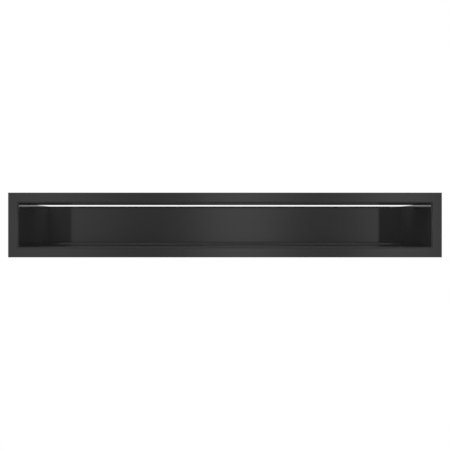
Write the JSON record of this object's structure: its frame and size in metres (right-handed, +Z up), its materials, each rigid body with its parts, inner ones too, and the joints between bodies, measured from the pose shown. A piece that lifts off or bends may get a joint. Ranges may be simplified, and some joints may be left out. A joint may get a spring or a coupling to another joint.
{
  "type": "fireplace warm-air slot",
  "caption": "Long, narrow warm-air slot for a fireplace breast: flat graphite frame round a shallow steel tunnel with a back plate, open at the top rear, held in a wall sleeve by leaf springs.",
  "frame": {"origin": "centre of the mouth, on the wall's surface, which is the back of the face frame's border", "axes": "+X along the slot to the viewer's right, +Y into the wall, +Z up"},
  "size_m": [0.596, 0.1518, 0.089],
  "materials": {
    "graphite_powder_coat": "smooth glossy graphite powder coat on steel sheet",
    "spring_steel": "bright rolled stainless spring strip",
    "galvanised_sheet": "hot-dip galvanised sheet with a faint spangle",
    "zinc_plated_rivet": "bright zinc-plated steel rivet"
  },
  "bodies": {
    "wall_sleeve": {"sleeve_top": "galvanised_sheet", "sleeve_bottom": "galvanised_sheet", "sleeve_left": "galvanised_sheet", "sleeve_right": "galvanised_sheet", "top_left_corner_rivet_front": "zinc_plated_rivet", "top_left_corner_rivet_rear": "zinc_plated_rivet", "top_right_corner_rivet_front": "zinc_plated_rivet", "top_right_corner_rivet_rear": "zinc_plated_rivet", "bottom_left_corner_rivet_front": "zinc_plated_rivet", "bottom_left_corner_rivet_rear": "zinc_plated_rivet", "bottom_right_corner_rivet_front": "zinc_plated_rivet", "bottom_right_corner_rivet_rear": "zinc_plated_rivet", "top_left_lug": "galvanised_sheet", "top_right_lug": "galvanised_sheet", "bottom_left_lug": "galvanised_sheet", "bottom_right_lug": "galvanised_sheet", "left_lug": "galvanised_sheet", "right_lug": "galvanised_sheet", "top_left_lug_rivet_front": "zinc_plated_rivet", "top_left_lug_rivet_rear": "zinc_plated_rivet", "top_right_lug_rivet_front": "zinc_plated_rivet", "top_right_lug_rivet_rear": "zinc_plated_rivet", "bottom_left_lug_rivet_front": "zinc_plated_rivet", "bottom_left_lug_rivet_rear": "zinc_plated_rivet", "bottom_right_lug_rivet_front": "zinc_plated_rivet", "bottom_right_lug_rivet_rear": "zinc_plated_rivet", "left_lug_rivet_front": "zinc_plated_rivet", "left_lug_rivet_rear": "zinc_plated_rivet", "right_lug_rivet_front": "zinc_plated_rivet", "right_lug_rivet_rear": "zinc_plated_rivet"},
    "grille_insert": {"face_frame": "graphite_powder_coat", "tunnel_roof": "graphite_powder_coat", "floor_and_back_plate": "graphite_powder_coat", "left_cheek": "graphite_powder_coat", "right_cheek": "graphite_powder_coat", "top_left_clip_rivet_a": "graphite_powder_coat", "top_left_clip_rivet_b": "graphite_powder_coat", "top_right_clip_rivet_a": "graphite_powder_coat", "top_right_clip_rivet_b": "graphite_powder_coat", "bottom_left_clip_rivet_a": "graphite_powder_coat", "bottom_left_clip_rivet_b": "graphite_powder_coat", "bottom_right_clip_rivet_a": "graphite_powder_coat", "bottom_right_clip_rivet_b": "graphite_powder_coat"},
    "top_left_leaf": {"top_left_clip": "spring_steel"},
    "top_right_leaf": {"top_right_clip": "spring_steel"},
    "bottom_left_leaf": {"bottom_left_clip": "spring_steel"},
    "bottom_right_leaf": {"bottom_right_clip": "spring_steel"}
  },
  "joints": [
    {"name": "insert_pull", "type": "slide", "parent": "wall_sleeve", "child": "grille_insert", "axis": [0, -1, 0], "range_m": [0, 0.155]},
    {"name": "top_left_flex", "type": "hinge", "parent": "grille_insert", "child": "top_left_leaf", "pos_m": [-0.18, 0.0435, 0.0323], "axis": [1, 0, 0], "range_deg": [0, 3], "stiffness_Nm_per_rad": 2.5},
    {"name": "top_right_flex", "type": "hinge", "parent": "grille_insert", "child": "top_right_leaf", "pos_m": [0.18, 0.0435, 0.0323], "axis": [1, 0, 0], "range_deg": [0, 3], "stiffness_Nm_per_rad": 2.5},
    {"name": "bottom_left_flex", "type": "hinge", "parent": "grille_insert", "child": "bottom_left_leaf", "pos_m": [-0.18, 0.0435, -0.0323], "axis": [-1, 0, 0], "range_deg": [0, 3], "stiffness_Nm_per_rad": 2.5},
    {"name": "bottom_right_flex", "type": "hinge", "parent": "grille_insert", "child": "bottom_right_leaf", "pos_m": [0.18, 0.0435, -0.0323], "axis": [-1, 0, 0], "range_deg": [0, 3], "stiffness_Nm_per_rad": 2.5}
  ]
}
